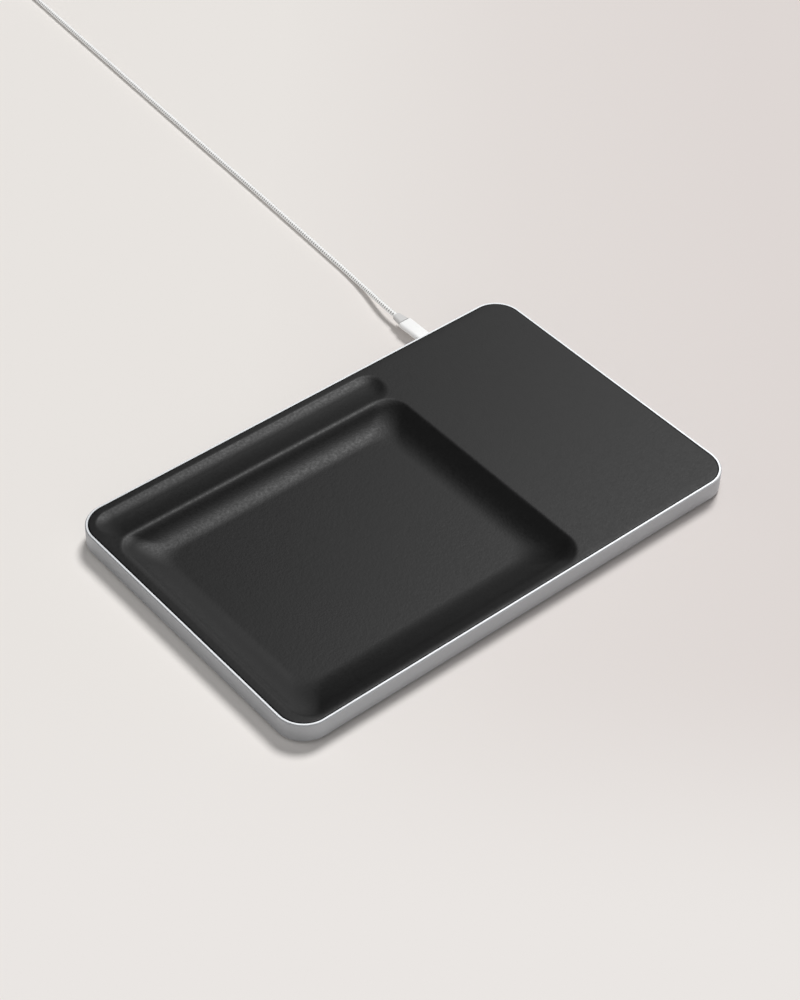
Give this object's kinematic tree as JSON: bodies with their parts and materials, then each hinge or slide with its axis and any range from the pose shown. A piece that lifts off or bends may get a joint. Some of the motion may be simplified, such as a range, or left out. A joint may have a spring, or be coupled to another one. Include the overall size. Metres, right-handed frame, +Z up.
{
  "type": "wireless charging tray",
  "caption": "Low rounded tray with an aluminium body, a black leather top with a dished recess, a back channel and a charging pad, and a plugged-in braided cable.",
  "frame": {"origin": "on the table, under the middle of the tray without its cable", "axes": "+X along the tray towards the charging pad, +Y across it towards the cable port, +Z up"},
  "size_m": [0.3611, 0.7218, 0.0135],
  "materials": {
    "anodised_aluminium": "bead-blasted and clear anodised satin, with a cut chamfer round the rim",
    "black_leather": "smooth fine grain, satin",
    "black_plastic": "moulded, matte",
    "grey_silicone": "moulded, matte",
    "copper_winding": "enamelled copper winding",
    "ferrite": "sintered, dull",
    "circuit_board": "solder mask, semi-gloss",
    "chip_body": "moulded, matte",
    "capacitor": "film capacitor, satin",
    "plated_steel": "nickel plated",
    "white_plastic": "moulded, satin gloss",
    "grey_collar": "soft moulded, matte",
    "braided_sleeve": "fine white and grey braid"
  },
  "bodies": {
    "tray": {"aluminium_body": "anodised_aluminium", "leather_top": "black_leather", "inner_carrier": "black_plastic", "foot_mat": "grey_silicone", "coil_bracket": "black_plastic", "ferrite_sheet": "ferrite", "front_charging_coil": "copper_winding", "middle_charging_coil": "copper_winding", "back_charging_coil": "copper_winding", "front_coil_lead": "copper_winding", "middle_coil_lead": "copper_winding", "back_coil_lead": "copper_winding", "main_board": "circuit_board", "receptacle_shell": "plated_steel", "receptacle_tongue": "chip_body", "controller_chip": "chip_body", "driver_chip": "chip_body", "power_inductor": "chip_body", "tuning_capacitor_1": "capacitor", "tuning_capacitor_2": "capacitor", "body_screw_1": "plated_steel", "body_screw_2": "plated_steel", "body_screw_3": "plated_steel", "body_screw_4": "plated_steel", "body_screw_5": "plated_steel", "body_screw_6": "plated_steel", "bracket_screw_1": "plated_steel", "bracket_screw_2": "plated_steel", "bracket_screw_3": "plated_steel", "bracket_screw_4": "plated_steel", "board_screw_1": "plated_steel", "board_screw_2": "plated_steel", "board_screw_3": "plated_steel", "board_screw_4": "plated_steel"},
    "cable": {"plug_shell": "plated_steel", "plug_housing": "white_plastic", "plug_collar": "grey_collar", "cable_lead": "braided_sleeve", "cable_coil": "braided_sleeve", "cable_tie": "black_plastic", "cable_tail": "braided_sleeve", "far_collar": "grey_collar", "far_plug_housing": "white_plastic", "far_plug_shell": "plated_steel", "far_plug_tongue": "white_plastic"}
  },
  "joints": [
    {"name": "cable_unplug", "type": "slide", "parent": "tray", "child": "cable", "axis": [0, 1, 0], "range_m": [0, 0.012]}
  ]
}
